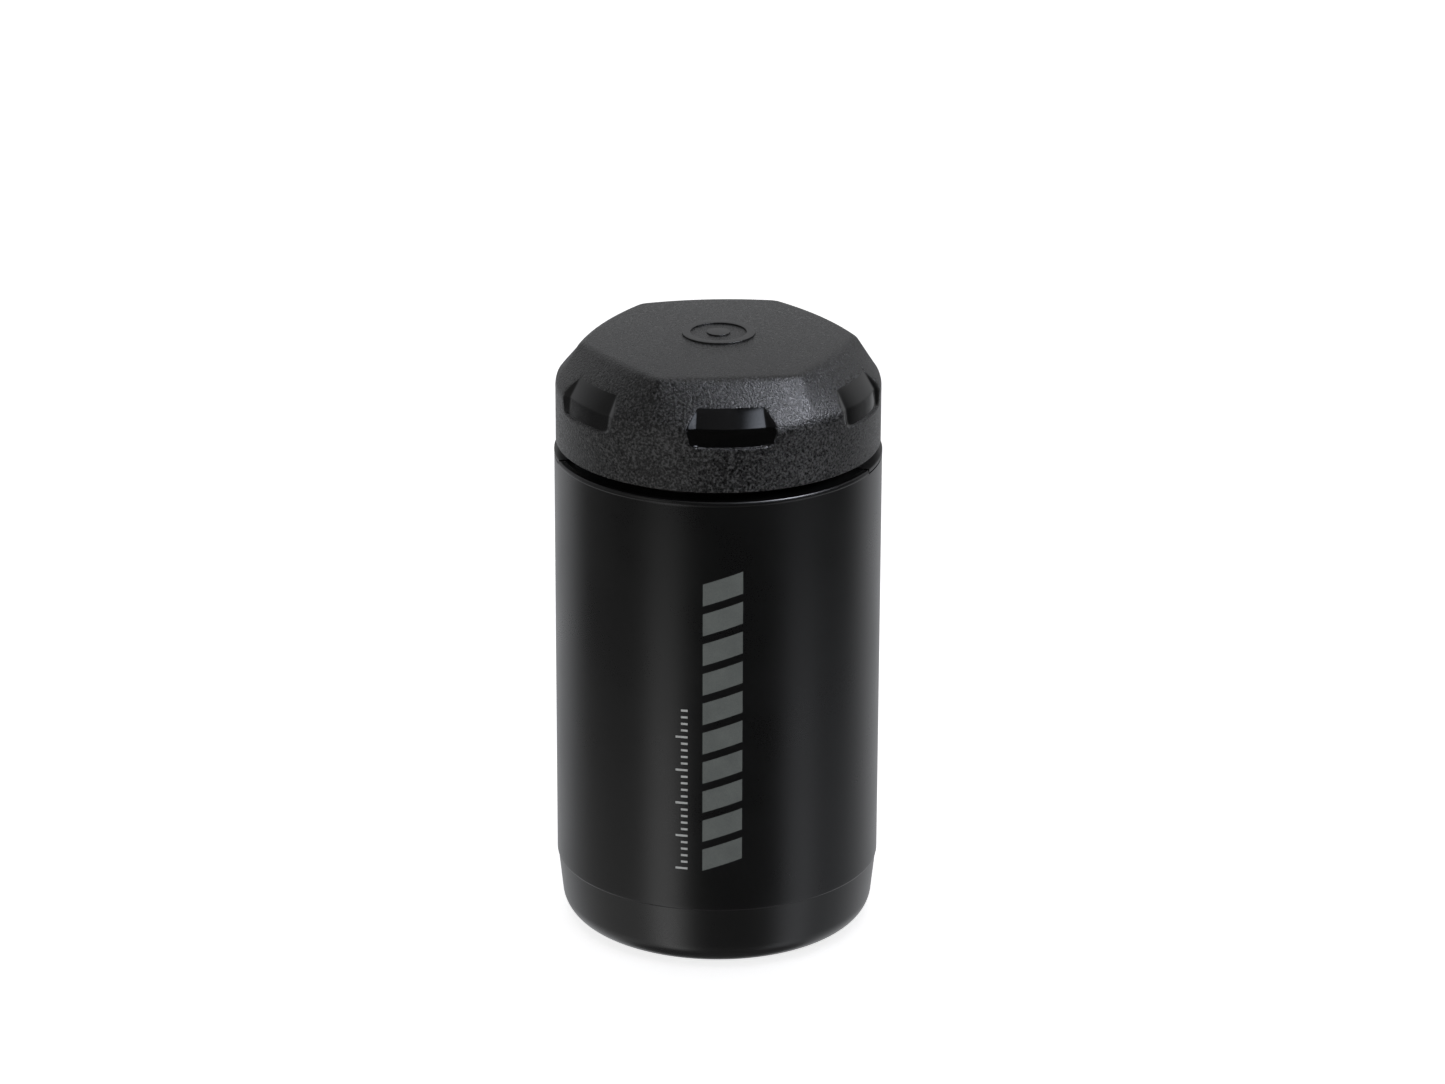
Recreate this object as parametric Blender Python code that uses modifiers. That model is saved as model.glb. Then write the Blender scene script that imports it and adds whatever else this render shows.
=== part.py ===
"""Screw-lid tool canister for a bicycle bottle cage.

Metres, +Z up, origin at the centre of the base's rest ring.  The axis of the
canister is +Z.  Azimuths are measured from the front (-Y) towards +X.
"""
import math

import bmesh
import bpy
from mathutils import Vector

MM = 0.001

# ---- driving dimensions (millimetres) ---------------------------------------
BODY_R = 37.0            # cage-standard 74 mm cylinder
BODY_H = 113.2           # base to rim
TOTAL_H = 140.0          # base to the top of the lid's dome
WALL = 1.4
RIM_PROUD = 0.38         # the rim bead stands this far out of the cylinder
FOOT_H = 14.8            # height of the crease above the base
FOOT_STEP = 0.2          # the foot steps in this far below the crease
FOOT_TAPER = 0.108       # mm of radius lost per mm of height
FOOT_FILLET = 5.9
FLOOR = 1.8

LID_R = 36.65
LID_GAP = 2.0            # shadow gap between the rim and the lid's skirt
RIDGE_H = 129.55         # height of the lid's widest edge
PLATEAU_R = 31.1         # circumradius of the hexagonal top
PLATEAU_BULGE = 1.25     # each hexagon edge bows out this far
PLATEAU_SAG = 0.001455   # dome: height lost is this times radius squared
LID_AZIMUTH = math.radians(4.8)
SIDES = 6

SCOOP_SLANT = 2.2        # a scoop's side walls widen this much per mm outwards
SCOOP_LOW = (125.3, 36.0, 7.6)       # height, radius and half width of its floor
SCOOP_CREASE = (129.4, 35.5, 7.72)
SCOOP_HIGH = (133.8, None, 7.3)      # here the floor runs out into the shoulder

EMBLEM_RING = (6.3, 8.2)     # plain raised ring in the middle of the lid
EMBLEM_DOT = 2.6
EMBLEM_TOP = TOTAL_H + 0.3

THREAD_LEAD = 8.0        # two starts, 4 mm pitch
THREAD_STARTS = 2
NECK_BORE = 28.5
NECK_ROOT = 30.5
NECK_CREST = 31.5
NECK_TOP = 124.6
NECK_THREAD = (115.2, 123.0)     # heights of the thread's centre line
LINER_THREAD = (118.2, 123.2)
LINER_CREST = 30.9
LINER_ROOT = 31.9
LINER_OUT = 33.1

GAP = 0.3                # clearance between neighbouring pieces
RECESS_R = 24.0          # the recess in the underside, inside the rest ring
RECESS = 1.2
SHOULDER = BODY_H - 0.6  # top of the neck ring's flange
FLANGE_H = 8.0
LINING = 2.0             # thickness of the foam sheet
GASKET = 2.0
PAD = 3.0
GASKET_R = (28.7, 31.5)
PAD_R = 28.1
FLOOR_PAD_R = 29.6
FLOOR_PAD_H = 4.0
GROOVE_R = 33.8          # floor of the neck ring's seal groove
GROOVE = (2.2, 4.0)      # the groove's edges below the shoulder
SKIRT_IN = 32.6          # bore of the neck ring's skirt
O_RING = (34.7, 0.6)
CAVITY = ((None, 127.6), (26.4, 136.4), (12.0, 137.2))   # the lid shell's inside
CAVITY_TOP = 137.3
RIM_TOP = BODY_H
LID_BOTTOM = BODY_H + LID_GAP
BODY_IN = BODY_R - WALL

LUG_AZIMUTHS = (math.radians(85.5), math.radians(265.5))
LUG_HALF = math.radians(21.5)
LUG_DEPTH = 1.2          # depth of the rim's two cut-outs
LUG_GAP = 1.0            # play at each end of a lug

SEG = 72                 # facets round the outside pieces
SEG_IN = 48              # facets round the inside pieces


# ---- scene and materials -----------------------------------------------------
def clear_scene():
    for ob in list(bpy.data.objects):
        bpy.data.objects.remove(ob, do_unlink=True)


def collection(name):
    coll = bpy.data.collections.new(name)
    bpy.context.scene.collection.children.link(coll)
    return coll


def material(name, color, roughness, metallic=0.0):
    mat = bpy.data.materials.new(name)
    mat.use_nodes = True
    shader = mat.node_tree.nodes["Principled BSDF"]
    shader.inputs["Base Color"].default_value = (*color, 1.0)
    shader.inputs["Roughness"].default_value = roughness
    shader.inputs["Metallic"].default_value = metallic
    mat.diffuse_color = (*color, 1.0)
    return mat


# ---- shape helpers -----------------------------------------------------------
def add_object(name, mesh, coll, mat=None):
    ob = bpy.data.objects.new(name, mesh)
    coll.objects.link(ob)
    if mat is not None:
        mesh.materials.append(mat)
    return ob


def shade(mesh, degrees=35.0):
    mesh.shade_smooth()
    mesh.set_sharp_from_angle(angle=math.radians(degrees))


def mesh_from(name, bm):
    bmesh.ops.recalc_face_normals(bm, faces=bm.faces)
    mesh = bpy.data.meshes.new(name)
    bm.to_mesh(mesh)
    bm.free()
    return mesh


def turned(name, profile, coll, mat=None, segments=SEG, closed=True):
    """A turned piece: (radius, height) points, down the outer side first."""
    mesh = bpy.data.meshes.new(name)
    points = [(r * MM, 0.0, z * MM) for r, z in profile]
    edges = [(i, i + 1) for i in range(len(points) - 1)]
    if closed:
        edges.append((len(points) - 1, 0))
    mesh.from_pydata(points, edges, [])
    ob = add_object(name, mesh, coll, mat)
    screw = ob.modifiers.new("turn", "SCREW")
    screw.axis = "Z"
    screw.steps = segments
    screw.render_steps = segments
    screw.use_merge_vertices = True
    screw.merge_threshold = 1e-6
    screw.use_smooth_shade = True
    return ob


def arc(center, radius, start, end, steps):
    """Points along an arc; angles in degrees, 0 outwards, 90 upwards."""
    pts = []
    for i in range(steps + 1):
        a = math.radians(start + (end - start) * i / steps)
        pts.append((center[0] + radius * math.cos(a), center[1] + radius * math.sin(a)))
    return pts


def polar(azimuth, radius, z):
    """A point at an azimuth measured from the front (-Y) towards +X."""
    return Vector((math.sin(azimuth) * radius, -math.cos(azimuth) * radius, z)) * MM


def loft(bm, rings, cap_start=False, cap_end=False):
    """Join rings of equally many points with quads."""
    made = [[bm.verts.new(p) for p in ring] for ring in rings]
    for low, high in zip(made, made[1:]):
        count = len(low)
        for i in range(count):
            j = (i + 1) % count
            bm.faces.new((low[i], low[j], high[j], high[i]))
    if cap_start:
        bm.faces.new(list(reversed(made[0])))
    if cap_end:
        bm.faces.new(made[-1])
    return made


def boolean(ob, other, operation):
    mod = ob.modifiers.new(operation.lower(), "BOOLEAN")
    mod.operation = operation
    mod.object = other
    return mod


def guide(ob):
    ob.hide_render = True
    ob.display_type = "WIRE"
    return ob


# ---- threads -----------------------------------------------------------------
def thread_ridges(name, root, crest, heights, first, coll):
    """Helical ridges from a root radius to a crest radius, one for each start.

    The centre line starts at the angle first, climbs THREAD_LEAD a turn, and
    both its ends fade into the wall.
    """
    z_from, z_to = heights
    embed = 0.4 if root < crest else -0.4
    half_root = 1.1
    half_crest = 0.55
    step = 2.0 * math.pi / 64
    fade = math.radians(22.0)
    turn = (z_to - z_from) / THREAD_LEAD * 2.0 * math.pi
    count = int(round(turn / step))
    bm = bmesh.new()
    for start in range(THREAD_STARTS):
        phase = first + 2.0 * math.pi * start / THREAD_STARTS
        rings = []
        for i in range(count + 1):
            along = turn * i / count
            z = z_from + THREAD_LEAD * along / (2.0 * math.pi)
            grow = min(1.0, 0.12 + min(along, turn - along) / fade)
            top = root + (crest - root) * grow
            section = ((root - embed, -half_root), (top, -half_crest), (top, half_crest), (root - embed, half_root))
            a = along + phase
            rings.append([Vector((r * math.cos(a), r * math.sin(a), z + dz)) * MM for r, dz in section])
        loft(bm, rings, cap_start=True, cap_end=True)
    return guide(add_object(name, mesh_from(name, bm), coll))


# ---- canister ----------------------------------------------------------------
def foot_radius(z):
    return BODY_R - FOOT_STEP - FOOT_TAPER * (FOOT_H - z)


def canister_shell(coll, cutters, mat):
    slope = math.degrees(math.atan(FOOT_TAPER))
    fillet_r = foot_radius(FOOT_FILLET) - FOOT_FILLET * math.hypot(1.0, FOOT_TAPER)
    inner_r = FOOT_FILLET - WALL
    inner_foot = [(r, z + (FLOOR - WALL)) for r, z in arc((fillet_r, FOOT_FILLET), inner_r, -90.0, -slope, 4)]
    bead = BODY_R + RIM_PROUD
    profile = [
        (BODY_IN + 0.35, RIM_TOP),
        (bead - 0.25, RIM_TOP),
        (bead - 0.06, RIM_TOP - 0.09),
        (bead, RIM_TOP - 0.3),
        (bead, RIM_TOP - 0.75),
        (bead - 0.08, RIM_TOP - 0.95),
        (BODY_R, RIM_TOP - 1.1),
        (BODY_R, FOOT_H + 0.25),
        (BODY_R - 0.06, FOOT_H + 0.08),
        (BODY_R - FOOT_STEP, FOOT_H),
    ]
    profile += arc((fillet_r, FOOT_FILLET), FOOT_FILLET, -slope, -90.0, 7)
    profile += [(RECESS_R + RECESS, 0.0), (RECESS_R, RECESS), (0.0, RECESS)]
    profile += [(0.0, FLOOR + RECESS), (RECESS_R, FLOOR + RECESS), (RECESS_R + RECESS, FLOOR)]
    profile += inner_foot
    profile += [(BODY_IN, FOOT_H), (BODY_IN, RIM_TOP - 0.35)]
    shell = turned("canister_shell", profile, coll, mat)
    boolean(shell, rim_cutters(cutters), "DIFFERENCE")
    return shell


def ring_sector(bm, azimuth, half, r_in, r_out, z_low, z_high, steps=12):
    """A block bent round the axis, between two azimuths."""
    rings = []
    for i in range(steps + 1):
        a = azimuth - half + 2.0 * half * i / steps
        rings.append([polar(a, r_in, z_low), polar(a, r_out, z_low), polar(a, r_out, z_high), polar(a, r_in, z_high)])
    loft(bm, rings, cap_start=True, cap_end=True)


def rim_cutters(cutters):
    """The two cut-outs in the rim that the neck ring's lugs key into."""
    bm = bmesh.new()
    for azimuth in LUG_AZIMUTHS:
        ring_sector(bm, azimuth, LUG_HALF, BODY_IN - 1.0, BODY_R + 1.0, RIM_TOP - LUG_DEPTH, RIM_TOP + 1.0)
    return guide(add_object("rim_cutouts", mesh_from("rim_cutouts", bm), cutters))


def neck_ring(coll, cutters, mat):
    """Threaded collar: flange with a seal groove, funnel bore and neck."""
    flange_r = BODY_IN - GAP
    profile = [
        (NECK_ROOT - 0.4, NECK_TOP),
        (NECK_ROOT, NECK_TOP - 0.4),
        (NECK_ROOT, SHOULDER + 0.4),
        (NECK_ROOT + 0.4, SHOULDER),
        (flange_r - 0.2, SHOULDER),
        (flange_r, SHOULDER - 0.2),
        (flange_r, SHOULDER - GROOVE[0]),
        (GROOVE_R, SHOULDER - GROOVE[0]),
        (GROOVE_R, SHOULDER - GROOVE[1]),
        (flange_r, SHOULDER - GROOVE[1]),
        (flange_r, SHOULDER - FLANGE_H),
        (SKIRT_IN, SHOULDER - FLANGE_H),
        (SKIRT_IN, SHOULDER - 5.2),
        (NECK_BORE, SHOULDER - 1.2),
        (NECK_BORE, NECK_TOP - 0.4),
        (NECK_BORE + 0.4, NECK_TOP),
    ]
    neck = turned("neck_ring", profile, coll, mat)
    boolean(neck, thread_ridges("neck_thread", NECK_ROOT, NECK_CREST, NECK_THREAD, 0.0, cutters), "UNION")
    bm = bmesh.new()
    side_gap = LUG_GAP / BODY_R
    for azimuth in LUG_AZIMUTHS:
        ring_sector(bm, azimuth, LUG_HALF - side_gap, flange_r - 0.9, BODY_R + 0.05,
                    RIM_TOP - LUG_DEPTH + GAP, RIM_TOP - 0.1)
    boolean(neck, guide(add_object("neck_lugs", mesh_from("neck_lugs", bm), cutters)), "UNION")
    return neck


def torus_ring(name, coll, mat, major, minor, z, sides=8):
    bpy.ops.mesh.primitive_torus_add(
        major_segments=SEG_IN, minor_segments=sides, major_radius=major * MM, minor_radius=minor * MM,
        location=(0.0, 0.0, z * MM))
    ob = bpy.context.object
    ob.name = name
    ob.data.name = name
    ob.data.materials.append(mat)
    for owner in list(ob.users_collection):
        owner.objects.unlink(ob)
    coll.objects.link(ob)
    shade(ob.data, 60.0)
    return ob


def wall_lining(coll, mat):
    """A foam sheet rolled inside the wall, its two edges meeting at the back."""
    outer = BODY_IN - GAP
    inner = outer - LINING
    low = FOOT_H + 0.5
    high = SHOULDER - FLANGE_H - 0.7
    seam = 0.4 / outer
    steps = SEG_IN
    bm = bmesh.new()
    rings = []
    for i in range(steps + 1):
        a = math.pi + seam + (2.0 * math.pi - 2.0 * seam) * i / steps
        rings.append([polar(a, inner, low), polar(a, outer, low), polar(a, outer, high), polar(a, inner, high)])
    loft(bm, rings, cap_start=True, cap_end=True)
    mesh = mesh_from("wall_lining", bm)
    shade(mesh)
    return add_object("wall_lining", mesh, coll, mat)


def floor_pad(coll, mat):
    low = FLOOR + RECESS + GAP
    high = low + FLOOR_PAD_H
    return turned("floor_pad", [
        (0.0, high), (FLOOR_PAD_R - 0.8, high), (FLOOR_PAD_R, high - 0.8), (FLOOR_PAD_R, low + 0.6), (FLOOR_PAD_R - 0.6, low), (0.0, low),
    ], coll, mat, segments=SEG_IN, closed=False)


# ---- lid ---------------------------------------------------------------------
def chamfer_point(side, along, fraction, lift=0.0):
    """A point of the lid's faceted shoulder.

    side counts the hexagon's edges, along runs -1 to 1 over one edge, and
    fraction runs from 0 at the round ridge to 1 at the plateau's edge.
    """
    apothem = PLATEAU_R * math.cos(math.pi / SIDES)
    w = apothem + PLATEAU_BULGE * (1.0 - along * along)
    u = along * PLATEAU_R * math.sin(math.pi / SIDES)
    turn = LID_AZIMUTH + side * 2.0 * math.pi / SIDES + math.atan2(u, w)
    edge_r = math.hypot(u, w)
    edge_z = TOTAL_H - PLATEAU_SAG * edge_r * edge_r
    r = LID_R + (edge_r - LID_R) * fraction
    z = RIDGE_H + (edge_z - RIDGE_H) * fraction
    return turn, r, z + lift


def lid_ring(fraction, lift=0.0, radius=None, height=None, plateau=None):
    """One ring of the lid, SEG points, in step with the hexagon's corners."""
    per_side = SEG // SIDES
    ring = []
    for side in range(SIDES):
        for i in range(per_side):
            turn, r, z = chamfer_point(side, -1.0 + 2.0 * i / per_side, fraction, lift)
            if plateau is not None:
                r *= plateau
                z = TOTAL_H - PLATEAU_SAG * r * r
            if radius is not None:
                r = radius
                z = height
            ring.append(polar(turn, r, z))
    return ring


def lid_shell(coll, cutters, mat):
    inner_r = LINER_OUT + GAP
    bm = bmesh.new()
    rings = [
        lid_ring(1, radius=inner_r, height=LID_BOTTOM + 0.2),
        lid_ring(1, radius=inner_r + 0.2, height=LID_BOTTOM),
        lid_ring(1, radius=LID_R - 0.35, height=LID_BOTTOM),
        lid_ring(1, radius=LID_R - 0.1, height=LID_BOTTOM + 0.1),
        lid_ring(1, radius=LID_R, height=LID_BOTTOM + 0.35),
        lid_ring(1, radius=LID_R, height=RIDGE_H - 0.45),
        lid_ring(1, radius=LID_R - 0.06, height=RIDGE_H - 0.1),
        lid_ring(0.045),
        lid_ring(0.93),
        lid_ring(0.98),
        lid_ring(1, plateau=0.975),
        lid_ring(1, plateau=0.65),
        lid_ring(1, plateau=0.3),
    ]
    made = loft(bm, rings)
    top = bm.verts.new((0.0, 0.0, TOTAL_H * MM))
    last = made[-1]
    for i in range(SEG):
        bm.faces.new((last[i], last[(i + 1) % SEG], top))
    cavity = [
        lid_ring(1, radius=radius or inner_r, height=height) for radius, height in CAVITY
    ]
    low = made[0]
    for ring in cavity:
        high = [bm.verts.new(p) for p in ring]
        for i in range(SEG):
            bm.faces.new((low[i], low[(i + 1) % SEG], high[(i + 1) % SEG], high[i]))
        low = high
    ceiling = bm.verts.new((0.0, 0.0, CAVITY_TOP * MM))
    for i in range(SEG):
        bm.faces.new((low[i], low[(i + 1) % SEG], ceiling))
    mesh = mesh_from("lid_shell", bm)
    shade(mesh, 30.0)
    lid = add_object("lid_shell", mesh, coll, mat)
    boolean(lid, scoop_cutters(cutters), "DIFFERENCE")
    boolean(lid, lid_emblem(cutters), "UNION")
    return lid


def shoulder_radius(off, z):
    """Radius of the faceted shoulder at a height, this far round from a side's middle."""
    apothem = PLATEAU_R * math.cos(math.pi / SIDES)
    half_edge = PLATEAU_R * math.sin(math.pi / SIDES)
    bowed = apothem + PLATEAU_BULGE
    slope = math.tan(off)
    along = 2.0 * slope * bowed / (half_edge + math.sqrt(half_edge ** 2 + 4.0 * PLATEAU_BULGE * slope * slope * bowed))
    edge_r = math.hypot(along * half_edge, bowed - PLATEAU_BULGE * along * along)
    edge_z = TOTAL_H - PLATEAU_SAG * edge_r * edge_r
    return LID_R + (edge_r - LID_R) * (z - RIDGE_H) / (edge_z - RIDGE_H)


def scoop_station(z, radius, half, out, across):
    """One section of a scoop's cutter: its floor follows the lid's round shape."""
    beyond = LID_R + 2.3
    steps = 6
    reach = math.asin(half / LID_R)
    section = []
    for i in range(steps + 1):
        off = -reach + 2.0 * reach * i / steps
        r = radius(off)
        section.append((r * math.cos(off), r * math.sin(off)))
    wide = section[-1][1] + (beyond - section[-1][0]) * SCOOP_SLANT
    section += [(beyond, wide), (beyond, -wide)]
    return [(out * a + across * b + Vector((0.0, 0.0, z))) * MM for a, b in section]


def scoop_cutters(cutters):
    """Six finger scoops: a creased floor with slanted side walls."""
    z_low, r_low, half_low = SCOOP_LOW
    z_mid, r_mid, half_mid = SCOOP_CREASE
    z_high, _, half_high = SCOOP_HIGH
    past = 1.35      # the cutter goes on this far past the floor's upper end

    def upper(off):
        return r_mid + (shoulder_radius(off, z_high) - r_mid) * past

    bm = bmesh.new()
    for side in range(SIDES):
        azimuth = LID_AZIMUTH + side * 2.0 * math.pi / SIDES
        out = Vector((math.sin(azimuth), -math.cos(azimuth), 0.0))
        across = Vector((math.cos(azimuth), math.sin(azimuth), 0.0))
        loft(bm, [
            scoop_station(z_low, lambda off: r_low, half_low, out, across),
            scoop_station(z_mid, lambda off: r_mid, half_mid, out, across),
            scoop_station(z_mid + (z_high - z_mid) * past, upper, half_mid + (half_high - half_mid) * past, out, across),
        ], cap_start=True, cap_end=True)
    return guide(add_object("lid_scoops", mesh_from("lid_scoops", bm), cutters))


def lid_emblem(cutters):
    """A plain raised ring and dot, moulded on the lid."""
    inner, outer = EMBLEM_RING
    low = TOTAL_H - 0.8
    high = EMBLEM_TOP
    bevel = 0.12
    bm = bmesh.new()
    for profile in (
        [(inner, low), (outer, low), (outer, high - bevel), (outer - bevel, high), (inner + bevel, high), (inner, high - bevel)],
        [(EMBLEM_DOT, low), (EMBLEM_DOT, high - bevel), (EMBLEM_DOT - bevel, high)],
    ):
        rings = [[polar(2.0 * math.pi * i / SEG_IN, r, z) for i in range(SEG_IN)] for r, z in profile]
        if profile[0][0] == inner:
            loft(bm, rings + rings[:1])
        else:
            loft(bm, rings, cap_start=True, cap_end=True)
    bmesh.ops.remove_doubles(bm, verts=bm.verts, dist=1e-7)
    return guide(add_object("lid_emblem", mesh_from("lid_emblem", bm), cutters))


def lid_liner(coll, cutters, mat):
    """The inner cap, with the female thread and the ceiling the gasket bears on."""
    ceiling = NECK_TOP + GAP + GASKET + GAP
    profile = [
        (0.0, ceiling + 1.5),
        (31.6, ceiling + 1.5),
        (LINER_OUT, ceiling - 0.1),
        (LINER_OUT, LID_BOTTOM + 0.9),
        (LINER_OUT - 0.2, LID_BOTTOM + 0.7),
        (LINER_ROOT + 0.3, LID_BOTTOM + 0.7),
        (LINER_ROOT, LID_BOTTOM + 1.0),
        (LINER_ROOT, ceiling),
        (0.0, ceiling),
    ]
    liner = turned("lid_liner", profile, coll, mat, closed=False)
    # Half a pitch above the neck's thread, so the two run between each other.
    climb = LINER_THREAD[0] - NECK_THREAD[0] - 0.5 * THREAD_LEAD / THREAD_STARTS
    first = climb / THREAD_LEAD * 2.0 * math.pi
    ridges = thread_ridges("lid_thread", LINER_ROOT, LINER_CREST, LINER_THREAD, first, cutters)
    boolean(liner, ridges, "UNION")
    return liner


def lid_gasket(coll, mat):
    low = NECK_TOP + GAP
    return turned("lid_gasket", [
        (GASKET_R[1], low + GASKET), (GASKET_R[1], low), (GASKET_R[0], low), (GASKET_R[0], low + GASKET),
    ], coll, mat, segments=SEG_IN)


def lid_pad(coll, mat):
    high = NECK_TOP + GAP + GASKET
    low = high - PAD
    return turned("lid_pad", [
        (0.0, high), (PAD_R, high), (PAD_R, low + 0.6), (PAD_R - 0.6, low), (0.0, low),
    ], coll, mat, segments=SEG_IN, closed=False)


# ---- assembly ----------------------------------------------------------------
def build():
    clear_scene()
    parts = collection("tool_canister")
    cutters = collection("cutters")

    body_black = material("body_black", (0.012, 0.012, 0.013), 0.38)
    neck_black = material("neck_black", (0.010, 0.010, 0.010), 0.45)
    lid_black = material("lid_black", (0.022, 0.022, 0.023), 0.55)
    liner_black = material("liner_black", (0.015, 0.015, 0.015), 0.4)
    seal_grey = material("seal_grey", (0.09, 0.09, 0.09), 0.7)
    foam_grey = material("foam_grey", (0.05, 0.05, 0.055), 0.95)

    canister_shell(parts, cutters, body_black)
    neck_ring(parts, cutters, neck_black)
    torus_ring("neck_o_ring", parts, seal_grey, *O_RING, SHOULDER - 0.5 * sum(GROOVE))
    wall_lining(parts, foam_grey)
    floor_pad(parts, foam_grey)

    lid_shell(parts, cutters, lid_black)
    lid_liner(parts, cutters, liner_black)
    lid_gasket(parts, seal_grey)
    lid_pad(parts, foam_grey)


build()
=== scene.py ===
import math

import bmesh
import bpy
import numpy as np
from mathutils import Matrix, Vector


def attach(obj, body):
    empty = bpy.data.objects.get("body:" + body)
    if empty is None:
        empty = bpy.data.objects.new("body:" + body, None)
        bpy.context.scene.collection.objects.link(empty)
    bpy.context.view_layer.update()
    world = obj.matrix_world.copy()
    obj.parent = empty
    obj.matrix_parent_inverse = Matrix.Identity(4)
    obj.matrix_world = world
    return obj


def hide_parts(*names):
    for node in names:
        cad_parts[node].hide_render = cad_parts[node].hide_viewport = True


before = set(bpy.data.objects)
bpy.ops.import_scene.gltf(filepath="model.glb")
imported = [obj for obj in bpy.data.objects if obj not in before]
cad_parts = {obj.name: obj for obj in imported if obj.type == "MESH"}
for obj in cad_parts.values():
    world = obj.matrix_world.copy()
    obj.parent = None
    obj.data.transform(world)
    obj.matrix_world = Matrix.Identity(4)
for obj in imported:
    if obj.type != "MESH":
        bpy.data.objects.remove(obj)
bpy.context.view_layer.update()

MM = 0.001
TAU = 2.0 * math.pi

# Azimuths are measured round the axis from the front, -y, towards the right, +x.

# ---- dimensions, in millimetres, as in the CAD -------------------------------
BODY_R = 37.0
RIM_TOP = 113.2
WALL = 1.4
BODY_IN = BODY_R - WALL
RIM_PROUD = 0.38
FOOT_H = 14.8
FOOT_STEP = 0.2
FOOT_TAPER = 0.108
FOOT_FILLET = 5.9
FLOOR = 1.8
RECESS_R = 24.0
RECESS = 1.2

LUG_AZIMUTHS = (math.radians(85.5), math.radians(265.5))
LUG_HALF = math.radians(21.5)
LUG_DEPTH = 1.2
LUG_CUT = RIM_TOP - LUG_DEPTH
GAP = 0.3
LUG_GAP = 1.0

SHOULDER = RIM_TOP - 0.6
FLANGE_H = 8.0
FLANGE_R = BODY_IN - GAP
GROOVE_R = 33.8
GROOVE = (SHOULDER - 4.0, SHOULDER - 2.2)
SKIRT_IN = 32.6
O_RING_R = 34.7
O_RING_H = SHOULDER - 3.1
O_RING_SECTION = 0.6
THREAD_LEAD = 8.0
THREAD_STARTS = 2
THREAD_HALF = 1.1
THREAD_FLANK = 0.55
THREAD_FADE = math.radians(22.0)
NECK_BORE = 28.5
NECK_ROOT = 30.5
NECK_CREST = 31.5
NECK_TOP = 124.6
NECK_THREAD = (115.2, 123.0)
LINER_THREAD = (118.2, 123.2)
LINER_CREST = 30.9
LINER_ROOT = 31.9
LINER_OUT = 33.1
LINER_ROOF = 1.5
GASKET = 2.0
GASKET_IN = 28.7
GASKET_OUT = 31.5
GASKET_TOP = NECK_TOP + GAP + GASKET
CEILING = GASKET_TOP + GAP
PAD = 3.0
PAD_R = 28.1
FLOOR_PAD = 4.0
FLOOR_PAD_R = 29.6
LINING = 2.0
LINING_SEAM = 0.4

LID_R = 36.65
LID_BOTTOM = RIM_TOP + 2.0
TOTAL_H = 140.0
RIDGE_H = 129.55
PLATEAU_R = 31.1
PLATEAU_BULGE = 1.25
PLATEAU_SAG = 0.001455
LID_AZIMUTH = math.radians(4.8)
SIDES = 6
SECTOR = TAU / SIDES

# A scoop's side walls spread by SCOOP_SLANT for each millimetre outwards.  Its floor is given at
# three heights as (height, radius, half width); at the highest it meets the lid's shoulder.
SCOOP_SLANT = 2.2
SCOOP_LOW = (125.3, 36.0, 7.6)
SCOOP_CREASE = (129.4, 35.5, 7.72)
SCOOP_HIGH = (133.8, None, 7.3)

EMBLEM_RING = (6.3, 8.2)
EMBLEM_DOT = 2.6
EMBLEM_TOP = TOTAL_H + 0.3

# The printed marks, which only this model has; the sides are arcs from the front.
PRINT_PROUD = 0.03
PRINT_DEPTH = 0.12
PRINT_STEP = 0.6
BARS = dict(left=-3.3, right=5.6, low=24.7, high=103.25, bar=5.2, gap=1.9, slope=3.0)
RULE = dict(left=-9.43, right=-6.67, low=24.8, high=63.8, pitch=1.6, bar=0.5)


# ---- mesh helpers --------------------------------------------------------------
def new_piece(name, verts, faces, mats, smooth=True):
    mesh = bpy.data.meshes.new(name)
    mesh.from_pydata([tuple(map(float, v)) for v in verts], [], [tuple(map(int, f)) for f in faces])
    mesh.update()
    for mat in mats:
        mesh.materials.append(mat)
    if smooth:
        mesh.shade_smooth()
    piece = bpy.data.objects.new(name, mesh)
    bpy.context.scene.collection.objects.link(piece)
    return piece


def polar(azimuth, radius, height):
    """Points in metres from azimuths and millimetres."""
    return np.stack([np.sin(azimuth) * radius, -np.cos(azimuth) * radius, height], axis=-1) * MM


def even(count):
    return np.arange(count) / count * TAU


def spun(profile, azimuths):
    """A profile of (radius, height) at each azimuth: radius, height and azimuth grids."""
    points = np.array(profile)
    ones = np.ones((1, len(azimuths)))
    return points[:, 0:1] * ones, points[:, 1:2] * ones, np.ones((len(points), 1)) * azimuths[None, :]


def mixed(plain, notched, share, azimuths):
    """As spun, going from the plain profile to the notched one where share goes from 0 to 1."""
    r0, z0, a = spun(plain, azimuths)
    r1, z1, _ = spun(notched, azimuths)
    return r0 * (1.0 - share) + r1 * share, z0 * (1.0 - share) + z1 * share, a


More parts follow.
